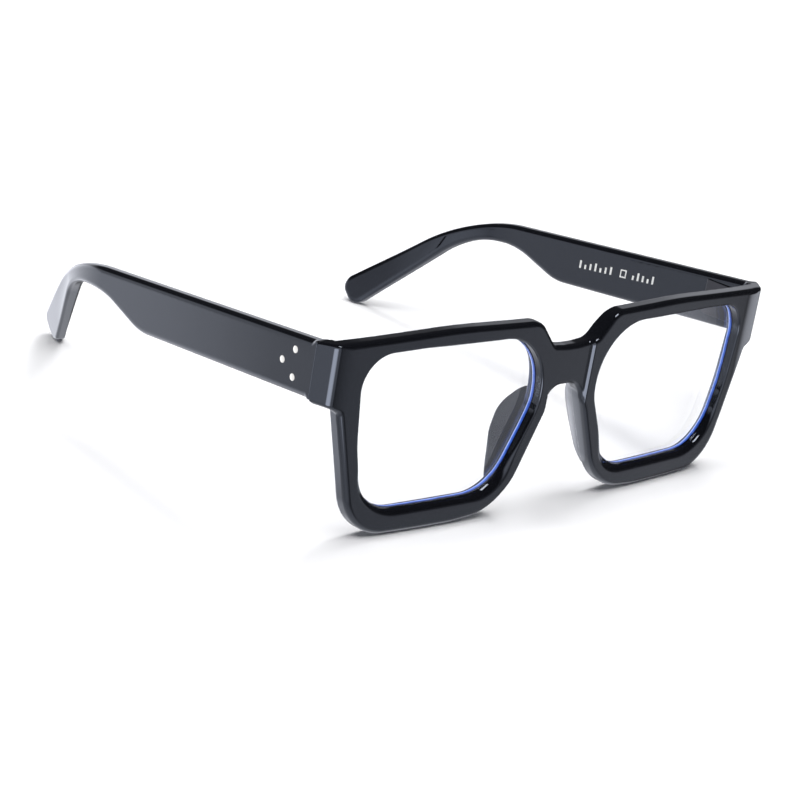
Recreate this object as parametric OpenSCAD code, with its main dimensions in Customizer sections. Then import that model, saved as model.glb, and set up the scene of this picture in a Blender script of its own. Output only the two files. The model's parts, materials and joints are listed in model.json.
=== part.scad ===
// Full-rim glasses with blue-filter lenses: one front, two folding temples, five-barrel hinges.
// Design axes: +X to the wearer's left, +Y from the lenses back to the ears, +Z up.
// Each shape is drawn on the front's own axes, with z = 0 just above its top edge, and
// placed() then stands the glasses on their rims and temple tips.

/* [Front] */
// Depth of the front from its face to its back
front_depth = 4; // [3.5:0.1:5]
// Radius of the front's gentle wrap, seen from above
wrap_radius = 700; // [600:50:1000]
// Radius of the tighter bend at each outer end of the front
end_bend_radius = 50; // [45:1:80]
// Half of the front's width at its face
front_half = 72.3; // [71:0.1:73.5]
// Depth of the recess in the bridge's face
bridge_recess = 1.2; // [0.4:0.1:2]
// Y of the joint between front and temple
seam_y = 8.05; // [7.8:0.05:8.3]

/* [Lenses] */
// Radius of the lens's front curve
lens_radius = 262; // [180:1:500]
// Thickness of the lens
lens_t = 1.6; // [1.2:0.1:1.8]
// How far the lens's middle sits behind the front's face
lens_inset = 0.75; // [0.5:0.05:1]
// How far the lens's edge reaches into the rim's groove
lens_bevel = 0.5; // [0.3:0.05:0.8]
// Room around the lens in its groove
groove_play = 0.06; // [0.03:0.01:0.1]

/* [Temples] */
// Thickness of a temple
temple_t = 3.9; // [3.4:0.1:4]
// X of the temple's outer face at the seam
temple_outer_x = 75.3; // [75:0.1:75.8]
// How far a temple's straight part leans inward, in mm over its length
temple_lean = 3.4; // [2:0.1:4]
// Gap in the joint between front and temple
seam_gap = 0.1; // [0.05:0.01:0.2]
// Radius of the core wire
core_r = 0.7; // [0.4:0.1:0.9]

/* [Hinges] */
// Radius of a hinge barrel
barrel_r = 1.4; // [1.3:0.05:1.45]
// Height of one barrel
barrel_h = 1.3; // [1:0.05:1.4]
// Gap between barrels
barrel_gap = 0.06; // [0.03:0.01:0.1]
// Radius of the hinge screw's shank
screw_r = 0.55; // [0.4:0.05:0.7]
// Radial clearance between screw and barrel
screw_play = 0.05; // [0.02:0.01:0.08]
// Radius of a rivet
rivet_r = 0.9; // [0.7:0.05:1]

/* [Stance] */
// How far the front leans back when the glasses stand
lean_deg = 2; // [1.5:0.1:2.5]

/* [Hidden] */
$fn = 48;
// Largest turn between two points of a rounded corner
arc_step = 5;
// Extra length that carries a cutting shape past the surface it cuts
past = 1;
// Height from the front's top line down to the floor, and from the face back to the middle
floor_drop = 48.408;
middle_back = 62.582;

// Front outline, wearer's left half, from the bridge's top round to its underside: [x, z, radius]
front_corners = [
    [6.9, -8.4, 4.5], [12.9, -1.6, 5.5], [38, -1, 200], [front_half, -2.4, 0.8], [front_half, -16.4, 0.8],
    [69.7, -18.2, 1.5], [64.6, -36.5, 40], [61.4, -48, 13], [44, -48.25, 60], [31.5, -48.25, 40],
    [16.4, -46.9, 16], [6.4, -23.4, 20], [4.7, -18.7, 5]
];
// Visible opening of the wearer's left rim: [x, z, radius]
opening_corners = [
    [9.9, -4.9, 14], [9.7, -22, 12], [19.4, -42.5, 13], [59, -42.6, 13],
    [63.2, -26, 40], [65.5, -5.5, 7.9], [48, -4.8, 60]
];
// X where the tighter bend of the front's ends starts
end_bend_x = 64.8;
// Middle of the lens, on the front's face
lens_mid = [37, -23.5];
// Side profile of a temple: [y, z, radius]
temple_corners = [
    [seam_y + seam_gap, -2.4, 0.4], [99.6, -12.7, 48], [129.4, -39.5, 3.2], [123.5, -45.42, 3],
    [99.4, -18.1, 22], [84.6, -16.6, 24], [69.2, -21.6, 15], [seam_y + seam_gap, -15.6, 0.4]
];
// Where the temple bends in towards the ear, the bend's radius and the tip, seen from above
bend_y = 95;
bend_r = 40;
tip_in = 22;
tip_y = 132;

// Hinge axis, and the middle of the hinge's height
hinge_x = 69.8;
hinge_y = 9.6;
hinge_z = -9.3;
barrel_pitch = barrel_h + barrel_gap;
hinge_h = 5 * barrel_h + 4 * barrel_gap;
// Rivets: [y, z]
rivet_places = [[14.4, -6.4], [18.1, -9.9], [14.1, -12.6]];

function unit(v) = v / norm(v);
function turned(v, a) = [v[0] * cos(a) - v[1] * sin(a), v[0] * sin(a) + v[1] * cos(a)];
function at(list, i) = list[(i + len(list)) % len(list)];
function flat(p) = [p[0], p[1]];

// Points of the arc that rounds corner b between its neighbours a and c
function corner_arc(a, b, c) =
    let (u = unit(flat(a) - flat(b)), v = unit(flat(c) - flat(b)), half = acos(u * v) / 2)
    let (middle = flat(b) + unit(u + v) * b[2] / sin(half), turn = 180 - 2 * half)
    let (from = flat(b) + u * b[2] / tan(half) - middle, steps = ceil(turn / arc_step))
    [for (i = [0:steps]) middle + turned(from, -sign(cross(u, v)) * turn * i / steps)];

// A closed outline with every corner rounded
function rounded(list) =
    [for (i = [0:len(list) - 1]) each corner_arc(at(list, i - 1), list[i], at(list, i + 1))];

// A convex outline's corners moved out by d
function grown(list, d) = [for (i = [0:len(list) - 1])
    let (b = flat(list[i]), u = unit(flat(at(list, i - 1)) - b), v = unit(flat(at(list, i + 1)) - b))
    let (out = b - unit(u + v) * d / sin(acos(u * v) / 2)) [out[0], out[1], list[i][2] + d]];

// Both halves of an outline that is drawn for the wearer's left
function both_halves(list) =
    concat(list, [for (i = [len(list) - 1:-1:0]) [-list[i][0], list[i][1], list[i][2]]]);

module placed() translate([0, -middle_back, floor_drop]) rotate([-lean_deg, 0, 0]) children();
module on_side(side) placed() mirror([side == "left" ? 0 : 1, 0, 0]) children();
// Extrude an [x, z] outline along Y, and a [y, z] outline along X
module along_y(y0, y1) translate([0, y1, 0]) rotate([90, 0, 0]) linear_extrude(y1 - y0) children();
module along_x(x0, x1) translate([x0, 0, 0]) rotate([90, 0, 90]) linear_extrude(x1 - x0) children();
module block(low, high) translate(low) cube(high - low);

// The space between two coaxial cylinders that follow the front's wrap
module wrap_slab(y0, y1) translate([0, wrap_radius, -60]) difference() {
    cylinder(r = wrap_radius - y0, h = 70, $fn = 720);
    translate([0, 0, -past]) cylinder(r = wrap_radius - y1, h = 70 + 2 * past, $fn = 720);
}

// What the tighter bend takes off the face at the front's outer end
module end_bend_cut() {
    slant = asin(end_bend_x / wrap_radius);
    reach = wrap_radius - end_bend_radius;
    difference() {
        block([end_bend_x, -past, -60], [front_half + 2, 12, 0]);
        translate([reach * sin(slant), wrap_radius - reach * cos(slant), -61])
            cylinder(r = end_bend_radius, h = 70, $fn = 360);
    }
}

// A spherical shell that follows the lens, thicker by play on each side
module lens_shell(play) {
    slant = asin(lens_mid[0] / wrap_radius);
    face_y = wrap_radius - sqrt(pow(wrap_radius, 2) - pow(lens_mid[0], 2));
    reach = lens_inset + lens_radius;
    translate([lens_mid[0] - reach * sin(slant), face_y + reach * cos(slant), lens_mid[1]]) difference() {
        sphere(r = lens_radius + play, $fn = 720);
        sphere(r = lens_radius - lens_t - play, $fn = 720);
    }
}

module lens_blank(edge, play) intersection() {
    along_y(-2, 12) polygon(rounded(grown(opening_corners, edge)));
    lens_shell(play);
}

// Outer end of the front, which the temple butts against
module endpiece() {
    translate([0, 0, -15.8]) linear_extrude(13.4) polygon([
        [67, 4.5], [front_half - 0.1, 4.6], [temple_outer_x + 0.05, seam_y],
        [71.3, seam_y], [71.3, 7.4], [67, 7]
    ]);
}

module hinge_front_plate() block([65.7, 6, hinge_z - hinge_h / 2], [70.9, 7.9, hinge_z + hinge_h / 2]);
module hinge_temple_plate() block([70.7, 11.4, -14], [71.9, 20.3, -5]);

module front_frame() color("#15171b") placed() difference() {
    union() {
        intersection() {
            along_y(-2, 12) polygon(rounded(both_halves(front_corners)));
            wrap_slab(0, front_depth);
        }
        endpiece();
        mirror([1, 0, 0]) endpiece();
    }
    for (flip = [0, 1]) mirror([flip, 0, 0]) {
        end_bend_cut();
        along_y(-3, 13) polygon(rounded(opening_corners));
        lens_blank(lens_bevel + groove_play, groove_play);
        hinge_front_plate();
    }
    translate([0, 0, -25]) linear_extrude(24) polygon([
        [-8, -past], [-5.6, bridge_recess], [5.6, bridge_recess], [8, -past]
    ]);
}

module lens(side) color("#9db8ee", 0.4) on_side(side) lens_blank(lens_bevel, 0);

// A fin on the back of the rim, beside the nose, flaring away from it
module nose_pad(side) color("#191b20") on_side(side) intersection() {
    hull() {
        translate([8.8, 4.6, -21.8]) sphere(r = 1.3, $fn = 24);
        translate([10.7, 8.3, -24.5]) sphere(r = 1.1, $fn = 24);
        translate([12.5, 8.6, -29]) sphere(r = 1.1, $fn = 24);
        translate([16, 4.9, -41]) sphere(r = 1.1, $fn = 24);
        translate([11.6, 4.6, -31]) sphere(r = 1.4, $fn = 24);
    }
    block([0, front_depth + 0.25, -50], [30, 20, -10]);
}

module barrel(level, r, h) translate([hinge_x, hinge_y, hinge_z - hinge_h / 2 + level * barrel_pitch])
    cylinder(r = r, h = h);
module hinge_bore() translate([hinge_x, hinge_y, hinge_z - hinge_h / 2 - past])
    cylinder(r = screw_r + screw_play, h = hinge_h + 2 * past);

module hinge_front_leaf(side) color("#8f9297") on_side(side) difference() {
    union() {
        hinge_front_plate();
        for (level = [0, 2, 4]) {
            barrel(level, barrel_r, barrel_h);
            translate([hinge_x - barrel_r, 7.8, hinge_z - hinge_h / 2 + level * barrel_pitch])
                cube([2 * barrel_r - 0.4, hinge_y - 7.8, barrel_h]);
        }
    }
    hinge_bore();
}

module hinge_temple_leaf(side) color("#8f9297") on_side(side) difference() {
    union() {
        hinge_temple_plate();
        for (level = [1, 3]) {
            barrel(level, barrel_r, barrel_h);
            translate([hinge_x - 0.6, hinge_y, hinge_z - hinge_h / 2 + level * barrel_pitch])
                cube([1.7, 2.2, barrel_h]);
        }
    }
    hinge_bore();
    rivet_holes();
}

module hinge_screw(side) color("#b9bbbf") on_side(side) difference() {
    union() {
        barrel(0, screw_r, hinge_h + past / 2);
        translate([hinge_x, hinge_y, hinge_z + hinge_h / 2]) cylinder(r = 0.95, h = 0.5);
    }
    translate([hinge_x - 2, hinge_y - 0.15, hinge_z + hinge_h / 2 + 0.25]) cube([4, 0.3, 1]);
}

// The temple seen from above: a strip that runs back and bends in towards the ear
module temple_plan() {
    lean = atan(temple_lean / (bend_y - seam_y));
    bend = atan(tip_in / (tip_y - bend_y));
    shift = temple_t * tan((bend - lean) / 2);
    bend_x = temple_outer_x - temple_lean;
    polygon(rounded([
        [temple_outer_x, seam_y, 0.3], [bend_x, bend_y, bend_r], [bend_x - tip_in, tip_y, 0.3],
        [bend_x - tip_in - temple_t * cos(bend), tip_y - temple_t * sin(bend), 0.3],
        [bend_x - temple_t, bend_y - shift, bend_r - temple_t], [temple_outer_x - temple_t, seam_y, 0.3]
    ]));
}

module rivet_holes() for (place = rivet_places)
    translate([60, place[0], place[1]]) rotate([0, 90, 0]) cylinder(r = rivet_r, h = 30);

module core(r) translate([72.9, 21, -9.3]) rotate([-94.2, 0, 2.2]) cylinder(r = r, h = 66);

module temple(side) color("#15171b") on_side(side) difference() {
    intersection() {
        along_x(40, 80) polygon(rounded(temple_corners));
        translate([0, 0, -60]) linear_extrude(70) temple_plan();
    }
    hinge_temple_plate();
    rivet_holes();
    core(core_r);
}

module temple_rivets(side) color("#e6e7e8") on_side(side) for (place = rivet_places)
    translate([70.7, place[0], place[1]]) rotate([0, 90, 0])
        cylinder(r = rivet_r, h = temple_outer_x + 0.05 - 70.7 - (place[0] - seam_y) * temple_lean / (bend_y - seam_y));

module core_wire(side) color("#a9abae") on_side(side) core(core_r);

front_frame();
nose_pad("left");  // nose_pad_left
nose_pad("right");  // nose_pad_right
lens("left");  // lens_left
lens("right");  // lens_right
hinge_front_leaf("left");  // hinge_front_leaf_left
hinge_front_leaf("right");  // hinge_front_leaf_right
hinge_temple_leaf("left");  // hinge_temple_leaf_left
hinge_temple_leaf("right");  // hinge_temple_leaf_right
hinge_screw("left");  // hinge_screw_left
hinge_screw("right");  // hinge_screw_right
temple("left");  // temple_left
temple("right");  // temple_right
temple_rivets("left");  // temple_rivets_left
temple_rivets("right");  // temple_rivets_right
core_wire("left");  // core_wire_left
core_wire("right");  // core_wire_right
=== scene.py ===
"""Looks for the blue light glasses: moulded shells, coated lenses, hinges, materials, light and camera.

Every shell is a distance field in the front's own axes, in millimetres (+X to the wearer's left, +Y back,
+Z up, z = 0 just above the front's top edge). It is meshed, snapped to the exact surface and then stood up
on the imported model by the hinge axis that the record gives.
"""

import json
import math

import bpy
import numpy as np
import openvdb
from mathutils import Matrix, Vector


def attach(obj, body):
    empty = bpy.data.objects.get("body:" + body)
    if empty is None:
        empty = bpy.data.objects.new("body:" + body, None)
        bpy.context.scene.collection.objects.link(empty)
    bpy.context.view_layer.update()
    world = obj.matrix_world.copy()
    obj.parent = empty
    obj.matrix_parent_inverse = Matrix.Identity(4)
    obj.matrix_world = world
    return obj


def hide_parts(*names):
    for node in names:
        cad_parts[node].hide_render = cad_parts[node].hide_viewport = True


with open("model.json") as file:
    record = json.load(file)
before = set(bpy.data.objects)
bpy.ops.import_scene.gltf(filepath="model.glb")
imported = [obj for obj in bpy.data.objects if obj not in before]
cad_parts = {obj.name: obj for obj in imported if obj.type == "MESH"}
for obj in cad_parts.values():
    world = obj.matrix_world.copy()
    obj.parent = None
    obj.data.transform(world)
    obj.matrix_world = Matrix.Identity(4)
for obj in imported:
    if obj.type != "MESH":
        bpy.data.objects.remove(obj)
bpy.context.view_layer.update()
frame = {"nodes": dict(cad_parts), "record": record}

# ---------------------------------------------------------------- sizes, in millimetres
MM = 0.001
FRONT_DEPTH, FRONT_HALF = 4.0, 72.3
# The front's bow seen from above, and the tighter bend of each end past END_BEND_X.
WRAP_R = 700.0
END_BEND_X, END_BEND_R = 64.8, 50.0
# Each end of the front grows from FLARE_Y to the seam: outward by END_FLARE, and up by END_TUCK underneath.
SEAM_Y, SEAM_GAP, FLARE_Y = 8.05, 0.1, 4.25
END_RANGE, END_FLARE, END_TUCK = (62, 70), 3.05, 0.75
# The recess across the bridge: its depth, half the width of its flat floor, and the width of each slope.
RECESS_DEPTH, RECESS_FLAT, RECESS_SLOPE = 1.15, 5.8, 1.125
# Nose side: how fast rim and pad flare, and the pad's place inside the outline, half thickness and taper.
NASAL_FLARE = 0.034
PAD_IN, PAD_HALF_T, PAD_TAPER = 1.3, 1.25, 0.06
# Depths between which the opening turns from its own outline to the lens's.
OPENING_TURN = (0.6, 2.2)
# Temples: thickness, outer face at the seam, its lean inward by BEND_Y, and the tip's reach past that bend.
TEMPLE_T, TEMPLE_X, TEMPLE_LEAN, BEND_Y, BEND_R = 3.9, 75.3, 3.4, 95.0, 40
TIP_IN, TIP_BACK, TIP_SLOPE = 22, 37, 0.595
# The ear part's middle line: its height, where it turns down and how steeply, and the twist about it.
EAR_Z, EAR_Y, EAR_DROP, EAR_TWIST = -16, 98, 0.44, 0.32
# Hinge: the screw's middle, five barrels with gaps between them, and the two leaves' plates.
HINGE = (69.8, 9.6, -9.3)
BARREL_R, BARREL_H, BARREL_GAP = 1.4, 1.3, 0.06
PITCH = BARREL_H + BARREL_GAP
HINGE_H = 5 * BARREL_H + 4 * BARREL_GAP
HINGE_LOW, HINGE_TOP = HINGE[2] - HINGE_H / 2, HINGE[2] + HINGE_H / 2
FRONT_PLATE = ((65.7, 6.0, HINGE_LOW), (70.9, 7.9, HINGE_TOP))
TEMPLE_PLATE = ((70.7, 11.4, -14.0), (71.9, 20.3, -5.0))
SCREW_R, BORE_R, HEAD_R, SLOT_HALF = 0.55, 0.6, 0.95, 0.15
RIVETS = ((14.4, -6.4), (18.1, -9.9), (14.1, -12.6))
RIVET_R, RIVET_DOME, RIVET_END_X = 0.9, 0.12, 70.76
LENS_R, LENS_T, LENS_INSET = 262.0, 1.6, 0.75
LENS_MID = (37.0, -23.5)
EDGE_ROWS = 6

# Outlines are corners (u, v, radius), as in the part's source.
FRONT_CORNERS = [
    (-30, -8.9, 0), (1.8, -8.9, 14), (6.9, -8.4, 4.5), (12.9, -1.6, 5.5), (38, -1, 200),
    (FRONT_HALF, -2.4, 0.8), (FRONT_HALF, -16.4, 0.8), (69.7, -18.2, 1.5), (64.6, -36.5, 40),
    (61.4, -48, 13), (44, -48.25, 60), (31.5, -48.25, 40), (16.4, -46.9, 16), (6.4, -23.4, 20),
    (4.7, -18.7, 5), (-30, -18.7, 0),
]
LENS_CORNERS = [
    (9.9, -4.9, 14), (9.7, -22, 12), (19.4, -42.5, 13), (59, -42.6, 13), (63.2, -26, 40), (65.5, -5.5, 7.9),
    (48, -4.8, 60),
]
# At the front face the opening's lower corners are tighter than the lens's.
OPENING_CORNERS = [(*c[:2], 9.5 if c[1] < -40 else c[2]) for c in LENS_CORNERS]
TEMPLE_CORNERS = [
    (SEAM_Y + SEAM_GAP, -2.4, 0.4), (99.6, -12.7, 48), (129.4, -39.5, 3.2), (123.5, -45.42, 3),
    (99.4, -18.1, 22), (84.6, -16.6, 24), (69.2, -21.6, 15), (SEAM_Y + SEAM_GAP, -15.6, 0.4),
]
PAD_CORNERS = [
    (1.8, -18.6, 1), (7.2, -19.7, 5), (10.4, -24.9, 8), (9.9, -31, 12), (7.2, -39.5, 12), (1.8, -45.4, 1),
]


# ---------------------------------------------------------------- distance fields
def on_arc(arc, point):
    centre, radius = arc[:2]
    return abs(np.hypot(*(point - centre)) - radius) < 1e-6


class Outline:
    """Signed distance to a closed outline with rounded corners: negative inside."""

    def __init__(self, corners):
        pts = np.array([c[:2] for c in corners], float)
        area = sum(a[0] * b[1] - b[0] * a[1] for a, b in zip(pts, np.roll(pts, -1, 0)))
        self.way = 1.0 if area > 0 else -1.0
        self.arcs, ends = [], []
        for i, (b, r) in enumerate(zip(pts, [c[2] for c in corners])):
            u, v = pts[i - 1] - b, pts[(i + 1) % len(pts)] - b
            u, v = u / np.hypot(*u), v / np.hypot(*v)
            half = math.acos(float(u @ v)) / 2
            ends.append((b + u * r / math.tan(half), b + v * r / math.tan(half)))
            if r > 0:
                mid = (u + v) / np.hypot(*(u + v))
                turn = -np.sign(u[0] * v[1] - u[1] * v[0]) * self.way
                self.arcs.append((b + mid * r / math.sin(half), r, -mid, math.sin(half), turn))
        self.edges = [(ends[i][1], ends[(i + 1) % len(ends)][0]) for i in range(len(ends))]

    def dist(self, x, y):
        best = np.full(np.broadcast(x, y).shape, 1e9)
        for p, q in self.edges:
            d = q - p
            length = np.hypot(*d)
            if length < 1e-9:
                continue
            t = np.clip(((x - p[0]) * d[0] + (y - p[1]) * d[1]) / length**2, 0, 1)
            away = np.hypot(x - p[0] - t * d[0], y - p[1] - t * d[1])
            side = (d[0] * (y - p[1]) - d[1] * (x - p[0])) * self.way
            best = np.where(away < np.abs(best), np.where(side > 0, -away, away), best)
        for c, r, mid, spread, turn in self.arcs:
            rho = np.hypot(x - c[0], y - c[1])
            inside = (x - c[0]) * mid[0] + (y - c[1]) * mid[1] >= rho * spread - 1e-9
            away = np.where(inside, rho - r, 1e9)
            best = np.where(np.abs(away) < np.abs(best), away * turn, best)
        return best

    def points(self, step):
        """Points once round the outline, about step apart where it is straight and 3 degrees on its arcs."""
        found = []
        for i, (p, q) in enumerate(self.edges):
            n = max(1, int(np.hypot(*(q - p)) / step))
            found += [p + (q - p) * k / n for k in range(n)]
            after = self.edges[(i + 1) % len(self.edges)][0]
            for c, r in [arc[:2] for arc in self.arcs if on_arc(arc, q) and on_arc(arc, after)]:
                a0, a1 = math.atan2(*(q - c)[::-1]), math.atan2(*(after - c)[::-1])
                turn = (a1 - a0 + math.pi) % (2 * math.pi) - math.pi
                n = max(2, int(abs(turn) / math.radians(3)))
                angles = [a0 + turn * k / n for k in range(n)]
                found += [c + r * np.array([math.cos(a), math.sin(a)]) for a in angles]
        return np.array(found)


def smooth(a, b, x):
    """0 at a and before, 1 at b and past it, with a soft start and end."""
    t = np.clip((x - a) / (b - a), 0, 1)
    return t * t * (3 - 2 * t)


def both(a, b, r):
    """Where both hold, with a fillet of radius r."""
    u, v = np.maximum(a + r, 0), np.maximum(b + r, 0)
    return np.minimum(np.maximum(a, b), -r) + np.hypot(u, v)


def either(a, b, r):
    """Where one or the other holds, with a fillet of radius r."""
    return -both(-a, -b, r)


def box_field(x, y, z, low, high, r):
    """A box between two corners, with its edges rounded to r."""
    mid, half = (np.add(low, high)) / 2, (np.subtract(high, low)) / 2 - r
    q = [np.abs(c - m) - h for c, m, h in zip((x, y, z), mid, half)]
    outside = np.sqrt(sum(np.maximum(c, 0) ** 2 for c in q))
    return outside + np.minimum(np.maximum(np.maximum(q[0], q[1]), q[2]), 0) - r


OUTER = Outline(FRONT_CORNERS)
OPENING = Outline(OPENING_CORNERS)
LENS_EDGE = Outline(LENS_CORNERS)
SIDE = Outline(TEMPLE_CORNERS)
PAD = Outline(PAD_CORNERS)


def outer_face_x(y):
    """The temple's outer face, as far as the bend at BEND_Y."""
    return TEMPLE_X - TEMPLE_LEAN * (y - SEAM_Y) / (BEND_Y - SEAM_Y)


def temple_plan():
    """The temple seen from above: straight, then bent inward on a wide arc towards its tip."""
    lean, bend = math.atan(TEMPLE_LEAN / (BEND_Y - SEAM_Y)), math.atan(TIP_IN / TIP_BACK)
    start, past = SEAM_Y - 5, 6
    x, shift = TEMPLE_X - TEMPLE_LEAN, TEMPLE_T * math.tan((bend - lean) / 2)
    tip = (x - TIP_IN - past * math.sin(bend), BEND_Y + TIP_BACK + past * math.cos(bend))
    return Outline([
        (TEMPLE_X + 0.2, start, 0), (x, BEND_Y, BEND_R), (*tip, 0),
        (tip[0] - TEMPLE_T * math.cos(bend), tip[1] - TEMPLE_T * math.sin(bend), 0),
        (x - TEMPLE_T, BEND_Y - shift, BEND_R - TEMPLE_T), (TEMPLE_X + 0.2 - TEMPLE_T, start, 0),
    ])


PLAN = temple_plan()


def bow(ax):
    """How far back the front's curve lies at ax from the middle."""
    return WRAP_R - np.sqrt(WRAP_R**2 - ax**2)


def wrap_y(ax):
    """Where the front face lies: the bow, and the tighter bend of the ends."""
    past = np.maximum(ax - END_BEND_X, 0)
    return bow(ax) + past**2 * (1 / END_BEND_R - 1 / WRAP_R) / 2


def recess_depth(ax):
    """The recess across the bridge: a flat floor and a slope at each side that meets the face in an edge."""
    slope = np.clip(ax - RECESS_FLAT, 0, RECESS_SLOPE)
    past = np.maximum(ax - RECESS_FLAT - RECESS_SLOPE, 0)
    return both(RECESS_DEPTH - 0.3 * slope - 0.4 * slope**2 - 1.2 * past, 0 * ax, 0.04)


def nasal_flare(y):
    """How far the rim's nasal side and the pad behind it lean away from the nose."""
    return NASAL_FLARE * np.maximum(y - 1, 0) ** 2


def front_field(x, y, z):
    """The front: its outline between the face and the back, with the ends carried back to the seam."""
    ax = np.abs(x)
    to_seam = np.clip((y - FLARE_Y) / (SEAM_Y - FLARE_Y), 0, 1.2)
    flare = END_FLARE * to_seam * smooth(-18.2, -16.3, z) * smooth(*END_RANGE, ax)
    tuck = END_TUCK * to_seam * smooth(-9, -14, z) * smooth(*END_RANGE, ax)
    pad_side = smooth(17, 13, ax) * smooth(-46, -43, z) * smooth(-18.5, -21.5, z)
    outer = OUTER.dist(ax - flare, z - tuck) + nasal_flare(y) * pad_side
    deep = smooth(*OPENING_TURN, y)
    opening = -OPENING.dist(ax, z) * (1 - deep) - LENS_EDGE.dist(ax, z) * deep
    face = wrap_y(ax) + recess_depth(ax) - y
    back = y - bow(ax) - FRONT_DEPTH - 0.8 * smooth(14, 9, ax)
    back = either(back, both(y - SEAM_Y, 71.3 - ax, 0.15), 0.2)
    # Edge radii: crisp at the seam, slimmer beside the pads and fuller along the openings' lower sides.
    seam = smooth(7.0, 7.7, y) * smooth(70.5, 71.2, ax)
    edge = 0.8 - 0.65 * seam - 0.6 * pad_side
    lower = smooth(-30, -40, z)
    round_front = 1.35 - 0.65 * smooth(69, 71.6, ax) * smooth(-1.8, -3.2, z) - 0.4 * pad_side
    return np.maximum(
        np.maximum(both(outer, face, round_front), both(outer, back, edge)),
        np.maximum(both(opening, face, 0.6 + 1.3 * lower), both(opening, back, 0.6)),
    )


def temple_field(x, y, z):
    """A temple: its side outline through its plan, twisted and thinned towards the tip."""
    rise = z - EAR_Z + EAR_DROP * (y - EAR_Y + np.hypot(y - EAR_Y, 4))
    x = x - EAR_TWIST * smooth(92, 118, y) * rise
    outer = np.minimum(outer_face_x(y), TEMPLE_X - TEMPLE_LEAN - TIP_SLOPE * (y - BEND_Y))
    below = smooth(1.5, -1.5, rise)
    inside = smooth(0.8, -0.8, x - outer + 2.3)
    ear = smooth(94, 112, y)
    # Edge radius: crisp at the seam, full along the temple, tighter on the ear part's outer lower edge.
    r = 0.15 + 1.3 * smooth(8.3, 9.8, y) - ear * (0.25 - below * (0.5 * inside - 0.45))
    thin = inside * smooth(100, 122, y)
    return both(SIDE.dist(y, z), PLAN.dist(x, y) + thin, r)


def pad_field(x, y, z):
    """A sheet that leaves the rim's nasal side and flares outward behind it."""
    depth = -OUTER.dist(np.abs(x), z)
    thick = PAD_HALF_T - PAD_TAPER * np.maximum(y - 5, 0)
    return both(PAD.dist(y, z), np.abs(depth - nasal_flare(y) - PAD_IN) - thick, 1.1)


def barrels(x, y, z, levels):
    rho = np.hypot(x - HINGE[0], y - HINGE[1])
    found = 1e9
    for level in levels:
        middle = HINGE_LOW + level * PITCH + BARREL_H / 2
        found = np.minimum(found, both(rho - BARREL_R, np.abs(z - middle) - BARREL_H / 2, 0.12))
    return found


def hinge_leaf(x, y, z, plate, lug_low, lug_high, levels):
    """A plate with a lug and a barrel at each of its levels, bored for the screw."""
    lugs = 1e9
    for level in levels:
        z0 = HINGE_LOW + level * PITCH
        lugs = np.minimum(lugs, box_field(x, y, z, (*lug_low, z0), (*lug_high, z0 + BARREL_H), 0.1))
    solid = either(either(plate, lugs, 0.25), barrels(x, y, z, levels), 0.1)
    return both(solid, BORE_R - np.hypot(x - HINGE[0], y - HINGE[1]), 0.06)


def front_leaf_field(x, y, z):
    plate = box_field(x, y, z, *FRONT_PLATE, 0.25)
    return hinge_leaf(x, y, z, plate, (HINGE[0] - BARREL_R, 7.4), (HINGE[0] + 1.0, HINGE[1]), (0, 2, 4))


def temple_leaf_field(x, y, z):
    plate = box_field(x, y, z, *TEMPLE_PLATE, 0.3)
    return hinge_leaf(x, y, z, plate, (HINGE[0] - 0.6, HINGE[1]), (HINGE[0] + 1.1, 11.9), (1, 3))


def screw_field(x, y, z):
    """The hinge screw, with a slotted, slightly domed head on top."""
    rho = np.hypot(x - HINGE[0], y - HINGE[1])
    shank = both(rho - SCREW_R, np.abs(z - HINGE[2]) - HINGE_H / 2 - 0.05, 0.1)
    head = both(rho - HEAD_R, np.abs(z - HINGE_TOP - 0.25) - 0.25 + 0.04 * rho**2, 0.14)
    slot = np.maximum(np.abs(y - HINGE[1]) - SLOT_HALF, HINGE_TOP + 0.22 - z)
    return np.maximum(either(shank, head, 0.1), -slot)


# ---------------------------------------------------------------- meshes
joint = next(j for j in frame["record"]["behaviour"]["joints"] if j["name"] == "fold_left")
up = np.array(joint["axis"])
LEAN = math.atan2(up[1], up[2])
STAND = np.array([
    [1, 0, 0],
    [0, math.cos(LEAN), math.sin(LEAN)],
    [0, -math.sin(LEAN), math.cos(LEAN)],
])
ORIGIN = np.array(joint["pos_m"]) / MM - STAND @ np.array(HINGE)


def placed(points):
    """Millimetres on the front's axes to metres in the row frame."""
    return (points @ STAND.T + ORIGIN) * MM


def add_mesh(name, verts, faces, normals=None, flip=False):
    """A mesh object from points on the front's axes; flip mirrors it to the wearer's right."""
    verts, faces = np.array(verts, float), np.array(faces)
    if flip:
        verts, faces = verts * (-1, 1, 1), faces[:, ::-1]
    mesh = bpy.data.meshes.new(name)
    mesh.vertices.add(len(verts))
    mesh.vertices.foreach_set("co", placed(verts).astype(np.float32).ravel())
    mesh.loops.add(faces.size)
    mesh.loops.foreach_set("vertex_index", faces.astype(np.int32).ravel())
    mesh.polygons.add(len(faces))
    width = faces.shape[1]
    mesh.polygons.foreach_set("loop_start", np.arange(0, faces.size, width, dtype=np.int32))
    mesh.polygons.foreach_set("loop_total", np.full(len(faces), width, np.int32))
    mesh.update(calc_edges=True)
    mesh.validate()
    mesh.polygons.foreach_set("use_smooth", np.ones(len(faces), bool))
    if normals is not None:
        turned = normals * ((-1, 1, 1) if flip else (1, 1, 1)) @ STAND.T
        mesh.normals_split_custom_set_from_vertices(turned.astype(np.float32))
    obj = bpy.data.objects.new(name, mesh)
    bpy.context.scene.collection.objects.link(obj)
    return obj


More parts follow.
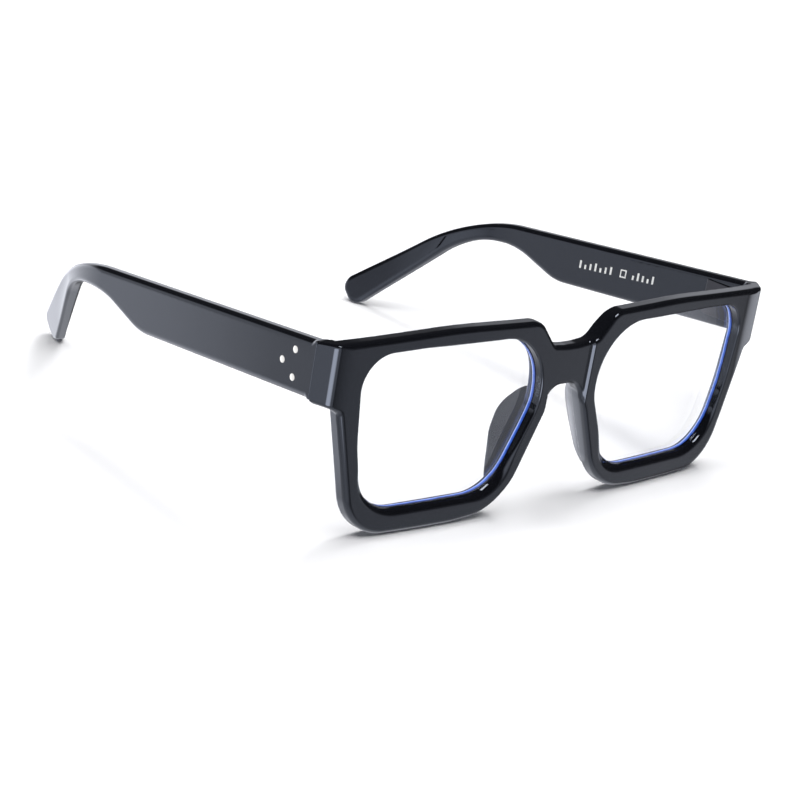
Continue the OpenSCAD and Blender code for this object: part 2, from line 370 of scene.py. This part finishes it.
def gradient(field, p, h=0.004):
    """The field's slope at the points, from its values at distance h each way."""
    out = np.empty_like(p)
    for k in range(3):
        e = np.zeros(3)
        e[k] = h
        out[:, k] = (field(*(p + e).T) - field(*(p - e).T)) / (2 * h)
    return out


def shell(field, low, high, step):
    """Vertices, quads and normals of the surface where field is zero."""
    axes = [np.arange(a, b + step, step) for a, b in zip(low, high)]
    x, y, z = axes[0][:, None, None], axes[1][None, :, None], axes[2][None, None, :]
    band = 3 * step
    value = np.clip(field(x, y, z) + np.zeros([len(a) for a in axes]), -band, band)
    grid = openvdb.FloatGrid(background=band)
    grid.copyFromArray(value.astype(np.float32))
    points, quads = grid.convertToQuads(isovalue=0.0)
    p = np.array(points, float) * step + [a[0] for a in axes]
    for _ in range(3):
        g = gradient(field, p)
        size = np.maximum((g * g).sum(1), 0.25)
        move = g * (field(*p.T) / size)[:, None]
        length = np.linalg.norm(move, axis=1, keepdims=True)
        p -= move * np.minimum(1, 0.5 * step / np.maximum(length, 1e-9))
    g = gradient(field, p)
    return p, np.array(quads), g / np.maximum(np.linalg.norm(g, axis=1, keepdims=True), 1e-6)


def pair(name, parts):
    """The same mesh on the wearer's left and, mirrored, on the right."""
    return {side: add_mesh(f"{name}_{side}", *parts, flip=side == "right") for side in ("left", "right")}


# Grid steps of the large shells and of the hinge's small pieces.
STEP = 0.3
FINE = 0.09


def front_shell():
    """The front, with normals from just aside of the edges of the recess's slopes, so those look crisp."""
    points, quads, normals = shell(front_field, (-76.5, -1, -49.3), (76.5, 9, 0.2), STEP)
    slope_middle, reach, near_face = 6.5, 1.0, 1.4
    across = np.abs(points[:, 0])
    edge = (np.abs(across - slope_middle) < reach) & (points[:, 1] < near_face)
    aside = np.sign(points[edge, 0]) * np.sign(across[edge] - slope_middle) * 0.75 * STEP
    g = gradient(front_field, points[edge] + aside[:, None] * (1, 0, 0))
    normals[edge] = g / np.linalg.norm(g, axis=1, keepdims=True)
    return points, quads, normals


front = add_mesh("front_shell", *front_shell())
temples = pair("temple_shell", shell(temple_field, (47, 7.3, -45.5), (76.3, 130.5, -1.5), STEP))
pads = pair("pad_shell", shell(pad_field, (5, 3, -46), (22, 11.5, -18), 0.5 * STEP + 0.1))
front_leaves = pair("leaf_front", shell(front_leaf_field, (65.2, 5.6, -13.2), (71.8, 11.4, -5.4), FINE))
temple_leaves = pair("leaf_temple", shell(temple_leaf_field, (67.9, 7.8, -14.4), (72.4, 20.7, -4.6), FINE))
screws = pair("screw", shell(screw_field, (68.5, 8.3, -13.2), (71.1, 10.9, -4.9), 0.6 * FINE))


def ring_quad(base, count, i, k):
    """The quad between rings i and i + 1 of count points each, at place k round them."""
    j = (k + 1) % count
    low, high = base + i * count, base + (i + 1) * count
    return low + k, low + j, high + j, high + k


def turned_profile(profile, count=40):
    """Vertices and quads of a profile (radius, height) turned about its axis: +X is the axis."""
    turns = [2 * math.pi * k / count for k in range(count)]
    verts = [(h, r * math.cos(a), r * math.sin(a)) for r, h in profile for a in turns]
    faces = [ring_quad(0, count, i, k) for i in range(len(profile) - 1) for k in range(count)]
    return np.array(verts), faces


def rivets():
    """Three rivets through a temple, domed outside and filed flush inside the hinge leaf."""
    verts, faces = [], []
    quarter = math.pi / 2
    for y, z in RIVETS:
        outside = outer_face_x(y)
        rise = np.linspace(0.001, quarter, 7)
        dome = [(RIVET_R * math.sin(a), outside - 0.05 + RIVET_DOME * math.cos(a)) for a in rise]
        fall = np.linspace(0, quarter - 0.001, 4)
        foot = [(RIVET_R * math.cos(a), RIVET_END_X - 0.03 * math.sin(a)) for a in fall]
        v, f = turned_profile(dome + [(RIVET_R, outside - 0.5), (RIVET_R, 70.9)] + foot)
        base = len(verts)
        verts += [tuple(p + (0, y, z)) for p in v]
        faces += [tuple(i + base for i in q) for q in f]
    return verts, faces


rivet_sets = pair("rivets", rivets())


# ---------------------------------------------------------------- lenses
def lens_surfaces(rings):
    """The lens's front and back points, on rings from its middle out, and the middle of its sphere."""
    rim = LENS_EDGE.points(1.0)
    slant = math.asin(LENS_MID[0] / WRAP_R)
    reach = LENS_INSET + LENS_R
    face_y = bow(LENS_MID[0])
    ball = np.array([LENS_MID[0] - reach * math.sin(slant), face_y + reach * math.cos(slant), LENS_MID[1]])
    layers = []
    for r in (LENS_R, LENS_R - LENS_T):
        rows = []
        for k in range(rings + 1):
            q = np.array(LENS_MID) + (rim - LENS_MID) * (k / rings)
            flat = np.hypot(q[:, 0] - ball[0], q[:, 1] - ball[2])
            rows.append(np.stack([q[:, 0], ball[1] - np.sqrt(r * r - flat**2), q[:, 1]], 1))
        layers.append(np.array(rows))
    return layers, ball


def lens_mesh():
    """The lens's two faces, with outward normals square to its sphere."""
    layers, ball = lens_surfaces(18)
    rings, count = layers[0].shape[:2]
    verts, normals, faces = [], [], []
    for side, rows in enumerate(layers):
        flat = rows.reshape(-1, 3)
        n = (flat - ball) / np.linalg.norm(flat - ball, axis=1, keepdims=True) * (1 if side == 0 else -1)
        base = len(verts)
        verts += list(flat)
        normals += list(n)
        # The first ring is a single point, so its quads close the middle. They come last.
        for i in (*range(1, rings - 1), 0):
            quads = [ring_quad(base, count, i, k) for k in range(count)]
            faces += quads if side else [quad[::-1] for quad in quads]
    return np.array(verts), np.array(faces), np.array(normals)


def lens_edge_mesh():
    """A bulging strip round the lens's edge, in rows from its front to its back."""
    layers, _ = lens_surfaces(1)
    rim_front, rim_back = layers[0][1], layers[1][1]
    count = len(rim_front)
    middle = np.array([LENS_MID[0], 0, LENS_MID[1]])
    start, span, inset, bulge = 0.3, 0.62, 0.05, 0.12
    verts, faces = [], []
    for i in range(EDGE_ROWS + 1):
        t = start + span * i / EDGE_ROWS
        ring = rim_front * (1 - t) + rim_back * t
        inward = middle - ring
        inward[:, 1] = 0
        inward /= np.linalg.norm(inward, axis=1, keepdims=True)
        verts += list(ring + inward * (inset + bulge * math.sin(math.pi * t)))
    for i in range(EDGE_ROWS):
        for k in range(count):
            a, b, c, d = ring_quad(0, count, i, k)
            faces.append((a, d, c, b))
    return np.array(verts), np.array(faces)


lenses = pair("lens_glass", lens_mesh())
lens_edges = pair("lens_edge", lens_edge_mesh())
for edge in lens_edges.values():
    count = len(edge.data.vertices) // (EDGE_ROWS + 1)
    depth = edge.data.attributes.new("edge_depth", "FLOAT", "POINT")
    depth.data.foreach_set("value", np.repeat(np.linspace(0, 1, EDGE_ROWS + 1), count).astype(np.float32))


# ---------------------------------------------------------------- printed size marks
MARK_Z, MARK_SLOPE, MARK_H = -7.3, -0.13, 1.05
BAR_W, INK_PROUD, INK_SUNK = 0.6, 0.03, 0.02


def marks():
    """Plain pad-printed marks on a temple's inner face: bars and a hollow square, no lettering."""
    verts, faces = [], []
    sides = [(0, 3, 2, 1), (0, 1, 5, 4), (1, 2, 6, 5), (2, 3, 7, 6), (3, 0, 4, 7)]

    def bar(y0, y1, z0, z1):
        """A raised block on the inner face, open where it meets the temple."""
        base = len(verts)
        for lift in (INK_PROUD, -INK_SUNK):
            for y, z in ((y0, z0), (y1, z0), (y1, z1), (y0, z1)):
                verts.append((outer_face_x(y) - TEMPLE_T - lift, y, z + MARK_Z + MARK_SLOPE * (y - 8)))
        faces.extend(tuple(base + i for i in side) for side in sides)

    def row(start, pitch, count, tops):
        """Upright bars side by side, with their tops at each height in turn."""
        for k in range(count):
            bar(start - pitch * k, start - BAR_W - pitch * k, -MARK_H, tops[k % 3])

    row(61.2, 1.7, 7, (1.05, 0.1, 0.6))
    bar(47.6, 45.6, -1.1, -0.75)
    bar(47.6, 45.6, 0.75, 1.1)
    bar(47.6, 47.25, -0.75, 0.75)
    bar(45.95, 45.6, -0.75, 0.75)
    row(43.6, 1.6, 5, (0.1, 1.05, 0.6))
    return np.array(verts), np.array(faces)


size_marks = add_mesh("size_marks", *marks())
for polygon in size_marks.data.polygons:
    polygon.use_smooth = False


# ---------------------------------------------------------------- materials
def new_material(name):
    """A material, its node tree and its shader."""
    material = bpy.data.materials.new(name)
    material.use_nodes = True
    nodes = material.node_tree.nodes
    return material, material.node_tree, nodes["Principled BSDF"]


def add_node(tree, kind, **values):
    """A node with its settings; a value named in_X_Y goes to the socket called X Y."""
    node = tree.nodes.new(kind)
    for key, value in values.items():
        if key.startswith("in_"):
            node.inputs[key[3:].replace("_", " ")].default_value = value
        else:
            setattr(node, key, value)
    return node


def object_coords(tree):
    return tree.nodes.new("ShaderNodeTexCoord").outputs["Object"]


def ranged(tree, source, low, high, from_low=0.0, from_high=1.0):
    """source, spread from its own range to low .. high."""
    limits = {"in_From_Min": from_low, "in_From_Max": from_high, "in_To_Min": low, "in_To_Max": high}
    node = add_node(tree, "ShaderNodeMapRange", **limits)
    tree.links.new(source, node.inputs["Value"])
    return node.outputs["Result"]


def noise(tree, scale, detail=4.0, rough=0.55, stretch=None):
    """Noise in the object's own space; stretch below 1 draws it out along an axis."""
    node = add_node(tree, "ShaderNodeTexNoise", in_Scale=scale, in_Detail=detail, in_Roughness=rough)
    coords = object_coords(tree)
    if stretch is not None:
        mapping = add_node(tree, "ShaderNodeMapping", in_Scale=stretch)
        tree.links.new(coords, mapping.inputs["Vector"])
        coords = mapping.outputs["Vector"]
    tree.links.new(coords, node.inputs["Vector"])
    return node.outputs["Fac"]


def gloss_black(name, dark, light, rough):
    """Polished moulded plastic: a hint of mould ripple, faint wipe marks and uneven polish."""
    material, tree, shader = new_material(name)
    tint = add_node(tree, "ShaderNodeMix", data_type="RGBA")
    tree.links.new(noise(tree, 90, 3), tint.inputs["Factor"])
    tint.inputs["A"].default_value = (*dark, 1)
    tint.inputs["B"].default_value = (*light, 1)
    tree.links.new(tint.outputs["Result"], shader.inputs["Base Color"])
    wipes = noise(tree, 90, 3, 0.5, stretch=(1, 0.2, 1))
    tree.links.new(ranged(tree, wipes, rough * 0.7, rough * 1.5, 0.35, 0.75), shader.inputs["Roughness"])
    bump = add_node(tree, "ShaderNodeBump", in_Strength=0.04, in_Distance=0.0002)
    tree.links.new(noise(tree, 70, 1), bump.inputs["Height"])
    tree.links.new(bump.outputs["Normal"], shader.inputs["Normal"])
    shader.inputs["IOR"].default_value = 1.53
    shader.inputs["Specular Tint"].default_value = (0.8, 0.87, 1.0, 1)
    return material


def metal(name, colour, rough, stretch):
    """Metal with a fine grain, which colours, roughens and dents it a little."""
    material, tree, shader = new_material(name)
    shader.inputs["Metallic"].default_value = 1.0
    grain = noise(tree, 1500, 4, 0.6, stretch=stretch)
    mix = add_node(tree, "ShaderNodeMix", data_type="RGBA")
    tree.links.new(grain, mix.inputs["Factor"])
    mix.inputs["A"].default_value = (*[c * 0.82 for c in colour], 1)
    mix.inputs["B"].default_value = (*colour, 1)
    tree.links.new(mix.outputs["Result"], shader.inputs["Base Color"])
    tree.links.new(ranged(tree, grain, rough * 0.7, rough * 1.4), shader.inputs["Roughness"])
    bump = add_node(tree, "ShaderNodeBump", in_Strength=0.25, in_Distance=0.00003)
    tree.links.new(grain, bump.inputs["Height"])
    tree.links.new(bump.outputs["Normal"], shader.inputs["Normal"])
    return material


def lens_glass():
    """Clear lens: a faint blue mirror coat, stronger where it is seen edge on, with a little uneven haze."""
    material, tree, shader = new_material("lens_glass")
    shader.inputs["Base Color"].default_value = (0.93, 0.95, 1.0, 1)
    shader.inputs["Metallic"].default_value = 1.0
    haze = noise(tree, 60, 4, 0.6)
    tree.links.new(ranged(tree, haze, 0.01, 0.05, 0.4, 0.8), shader.inputs["Roughness"])
    edge_on = add_node(tree, "ShaderNodeLayerWeight", in_Blend=0.5)
    squared = add_node(tree, "ShaderNodeMath", operation="POWER")
    tree.links.new(edge_on.outputs["Facing"], squared.inputs[0])
    squared.inputs[1].default_value = 2.0
    coat = add_node(tree, "ShaderNodeMath", operation="MULTIPLY_ADD")
    tree.links.new(squared.outputs[0], coat.inputs[0])
    coat.inputs[1].default_value = 0.35
    tree.links.new(ranged(tree, haze, 0.015, 0.04, 0.3, 0.8), coat.inputs[2])
    tree.links.new(coat.outputs[0], shader.inputs["Alpha"])
    return material


def lens_edge_painted_light():
    """The lens's edge: a blue band with painted shade at its front and back, a pale painted highlight near
    its back, and a faint painted glow though it is no lamp.
    """
    material, tree, shader = new_material("lens_edge_painted_light")
    attribute = add_node(tree, "ShaderNodeAttribute", attribute_name="edge_depth")
    ramp = add_node(tree, "ShaderNodeValToRGB")
    # Colours from the edge's front to its back: painted shade, blue, a pale painted highlight at 0.8,
    # painted shade again.
    painted_light_stops = (
        (0.0, (0.01, 0.025, 0.16)),
        (0.2, (0.03, 0.09, 0.45)),
        (0.55, (0.05, 0.15, 0.62)),
        (0.8, (0.4, 0.5, 0.88)),
        (1.0, (0.1, 0.16, 0.4)),
    )
    while len(ramp.color_ramp.elements) < len(painted_light_stops):
        ramp.color_ramp.elements.new(0.5)
    for element, (place, colour) in zip(ramp.color_ramp.elements, painted_light_stops):
        element.position, element.color = place, (*colour, 1)
    wander = ranged(tree, noise(tree, 220, 3), -0.18, 0.18, 0.3, 0.7)
    total = add_node(tree, "ShaderNodeMath", operation="ADD")
    tree.links.new(attribute.outputs["Fac"], total.inputs[0])
    tree.links.new(wander, total.inputs[1])
    tree.links.new(total.outputs[0], ramp.inputs["Fac"])
    tree.links.new(ramp.outputs["Color"], shader.inputs["Base Color"])
    # Painted glow: the edge gives off light in its own colours, though it is no lamp.
    tree.links.new(ramp.outputs["Color"], shader.inputs["Emission Color"])
    shader.inputs["Emission Strength"].default_value = 0.3
    shader.inputs["Roughness"].default_value = 0.25
    return material


def print_ink():
    """White pad-printing ink, a little uneven."""
    material, tree, shader = new_material("print_ink")
    mix = add_node(tree, "ShaderNodeMix", data_type="RGBA")
    tree.links.new(noise(tree, 3000, 2), mix.inputs["Factor"])
    mix.inputs["A"].default_value = (0.62, 0.62, 0.6, 1)
    mix.inputs["B"].default_value = (0.82, 0.82, 0.79, 1)
    tree.links.new(mix.outputs["Result"], shader.inputs["Base Color"])
    shader.inputs["Roughness"].default_value = 0.5
    return material


frame_black = gloss_black("frame_black", (0.0028, 0.003, 0.0042), (0.0045, 0.0048, 0.0065), 0.05)
pad_black = gloss_black("pad_black", (0.006, 0.0065, 0.008), (0.010, 0.011, 0.014), 0.22)
hinge_metal = metal("hinge_metal", (0.06, 0.06, 0.066), 0.3, (1, 0.1, 1))
screw_metal = metal("screw_metal", (0.7, 0.69, 0.67), 0.22, (1, 1, 1))
rivet_silver = metal("rivet_silver", (0.8, 0.77, 0.7), 0.35, (1, 1, 1))
core_metal = metal("core_metal", (0.6, 0.6, 0.6), 0.35, (1, 0.1, 1))
glass = lens_glass()
edge_painted_light = lens_edge_painted_light()
ink = print_ink()


def finish_piece(piece, material, body, slot, *nodes):
    """Give a piece its material and its body, and hide the CAD nodes that it stands in for; slot is not
    used.
    """
    piece.data.materials.clear()
    piece.data.materials.append(material)
    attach(piece, body)
    if nodes:
        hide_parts(*nodes)


finish_piece(front, frame_black, "front", "frame_black", "front_frame")
for side in ("left", "right"):
    arm = f"temple_{side}_arm"
    finish_piece(temples[side], frame_black, arm, "frame_black", f"temple_{side}")
    finish_piece(pads[side], pad_black, "front", "pad_black", f"nose_pad_{side}")
    finish_piece(front_leaves[side], hinge_metal, "front", "hinge_metal", f"hinge_front_leaf_{side}")
    finish_piece(temple_leaves[side], hinge_metal, arm, "hinge_metal", f"hinge_temple_leaf_{side}")
    finish_piece(screws[side], screw_metal, "front", "screw_metal", f"hinge_screw_{side}")
    finish_piece(rivet_sets[side], rivet_silver, arm, "rivet_silver", f"temple_rivets_{side}")
    finish_piece(lenses[side], glass, "front", "lens_coated", f"lens_{side}")
    finish_piece(lens_edges[side], edge_painted_light, "front", "lens_coated")
    core = frame["nodes"][f"core_wire_{side}"]
    for material_slot in core.material_slots:
        material_slot.material = core_metal
finish_piece(size_marks, ink, "temple_left_arm", "print_white")


# ---------------------------------------------------------------- floor, light and camera
def add_floor():
    """A plain pale floor just under the glasses, which their gloss doesn't mirror."""
    mesh = bpy.data.meshes.new("floor")
    half = 3.0
    corners = [(-half, -half, 0), (half, -half, 0), (half, half, 0), (-half, half, 0)]
    mesh.from_pydata(corners, [], [(0, 1, 2, 3)])
    floor = bpy.data.objects.new("floor", mesh)
    bpy.context.scene.collection.objects.link(floor)
    floor.location.z = -0.0001
    material, tree, shader = new_material("floor_white")
    shader.inputs["Base Color"].default_value = (0.9, 0.9, 0.91, 1)
    shader.inputs["Roughness"].default_value = 0.6
    mesh.materials.append(material)
    floor.visible_glossy = False


def area_light(name, place, size, power, glossy=True, diffuse=True):
    """A square light that points at the origin."""
    light = bpy.data.lights.new(name, "AREA")
    light.shape, light.size, light.energy = "SQUARE", size, power
    lamp = bpy.data.objects.new(name, light)
    bpy.context.scene.collection.objects.link(lamp)
    lamp.location = place
    lamp.rotation_mode = "QUATERNION"
    lamp.rotation_quaternion = (-Vector(place)).to_track_quat("-Z", "Y")
    lamp.visible_glossy, lamp.visible_diffuse = glossy, diffuse


# What the gloss sees: each panel's direction, the cosines where it fades out and is full, and its strength.
PANELS = {
    "softbox on the far right": ((0.93, -0.198, -0.309), 0.978, 0.997, 1.8),
    "panel in front, right": ((0.65, -0.69, -0.33), 0.88, 0.975, 0.7),
    "bright wall behind, low": ((-0.08, 0.94, -0.33), 0.8, 0.875, 2.1),
    "wall behind": ((-0.37, 0.904, 0.213), 0.15, 0.55, 1.15),
    "wall on the left": ((-0.82, -0.57, 0), 0.3, 0.95, 1.7),
    "dim wall in front": ((0, -0.95, -0.3), 0.2, 0.95, 0.25),
    "floor": ((0, 0, -1), 0.45, 0.8, 1.2),
    "bright strip in front, left": ((-0.58, -0.74, -0.342), 0.94, 0.996, 8.0),
}
HIGH_WINDOW = ((0.85, 0.47, 0.24), 0.965, 0.996, 0.7)
# The panels are full strength below the height where this fades, and dark above it.
DARK_CEILING = ((0, 0, -1), -0.38, -0.16, 1.0)
AMBIENT = 0.05


def studio_world():
    """The panels under a dark ceiling, with one high window behind the glasses on the right."""
    world = bpy.data.worlds.new("studio")
    bpy.context.scene.world = world
    world.use_nodes = True
    tree = world.node_tree
    direction = tree.nodes.new("ShaderNodeTexCoord").outputs["Generated"]

    def toward(axis, low, high, value):
        """value where the direction lies along axis, fading out between the two cosines."""
        dot = add_node(tree, "ShaderNodeVectorMath", operation="DOT_PRODUCT")
        tree.links.new(direction, dot.inputs[0])
        dot.inputs[1].default_value = axis
        fade = add_node(tree, "ShaderNodeMapRange", interpolation_type="SMOOTHSTEP", in_From_Min=low)
        fade.inputs["From Max"].default_value = high
        fade.inputs["To Max"].default_value = value
        tree.links.new(dot.outputs["Value"], fade.inputs["Value"])
        return fade.outputs["Result"]

    def joined(a, b, operation):
        node = add_node(tree, "ShaderNodeMath", operation=operation)
        tree.links.new(a, node.inputs[0])
        tree.links.new(b, node.inputs[1])
        return node.outputs[0]

    first, *others = [toward(*panel) for panel in PANELS.values()]
    walls = first
    for panel in others:
        walls = joined(walls, panel, "MAXIMUM")
    low_part = joined(walls, toward(*DARK_CEILING), "MULTIPLY")
    glow = joined(low_part, toward(*HIGH_WINDOW), "MAXIMUM")
    background = tree.nodes["Background"]
    background.inputs["Color"].default_value = (0.95, 0.97, 1.05, 1)
    base = add_node(tree, "ShaderNodeMath", operation="ADD")
    tree.links.new(glow, base.inputs[0])
    base.inputs[1].default_value = AMBIENT
    tree.links.new(base.outputs[0], background.inputs["Strength"])


# Camera: the point it looks at and its distance from it, in metres, its angles in degrees, lens in mm.
CAMERA_AIM, CAMERA_DISTANCE = (-0.05455, -0.06311, 0.03241), 0.5413
CAMERA_AZIMUTH, CAMERA_ELEVATION, CAMERA_ROLL = -47.51, 20.22, 11.35
CAMERA_LENS = 111.98


def add_camera():
    azimuth, elevation, roll = (math.radians(d) for d in (CAMERA_AZIMUTH, CAMERA_ELEVATION, CAMERA_ROLL))
    level_part = math.cos(elevation)
    back = Vector((math.sin(azimuth) * level_part, -math.cos(azimuth) * level_part, math.sin(elevation)))
    level = Vector((0, 0, 1)).cross(back).normalized()
    rise = back.cross(level)
    right = level * math.cos(roll) + rise * math.sin(roll)
    top = rise * math.cos(roll) - level * math.sin(roll)
    camera = bpy.data.objects.new("camera", bpy.data.cameras.new("camera"))
    bpy.context.scene.collection.objects.link(camera)
    turn = Matrix((right, top, back)).transposed().to_4x4()
    camera.matrix_world = Matrix.Translation(Vector(CAMERA_AIM) + back * CAMERA_DISTANCE) @ turn
    camera.data.lens, camera.data.sensor_width = CAMERA_LENS, 36.0
    camera.data.clip_start, camera.data.clip_end = 0.01, 20.0
    bpy.context.scene.camera = camera


add_floor()
studio_world()
area_light("overhead", (0, 0, 1.6), 2.0, 37, glossy=False)
area_light("key_right", (0.9, 0.4, 1.7), 0.5, 12, glossy=False)
area_light("key_left", (-1.2, 0.2, 1.6), 0.5, 8, glossy=False)
area_light("lamp", (0.1, -0.75, 1.3), 0.45, 9, diffuse=False)
add_camera()
bpy.context.scene.view_settings.view_transform = "Standard"
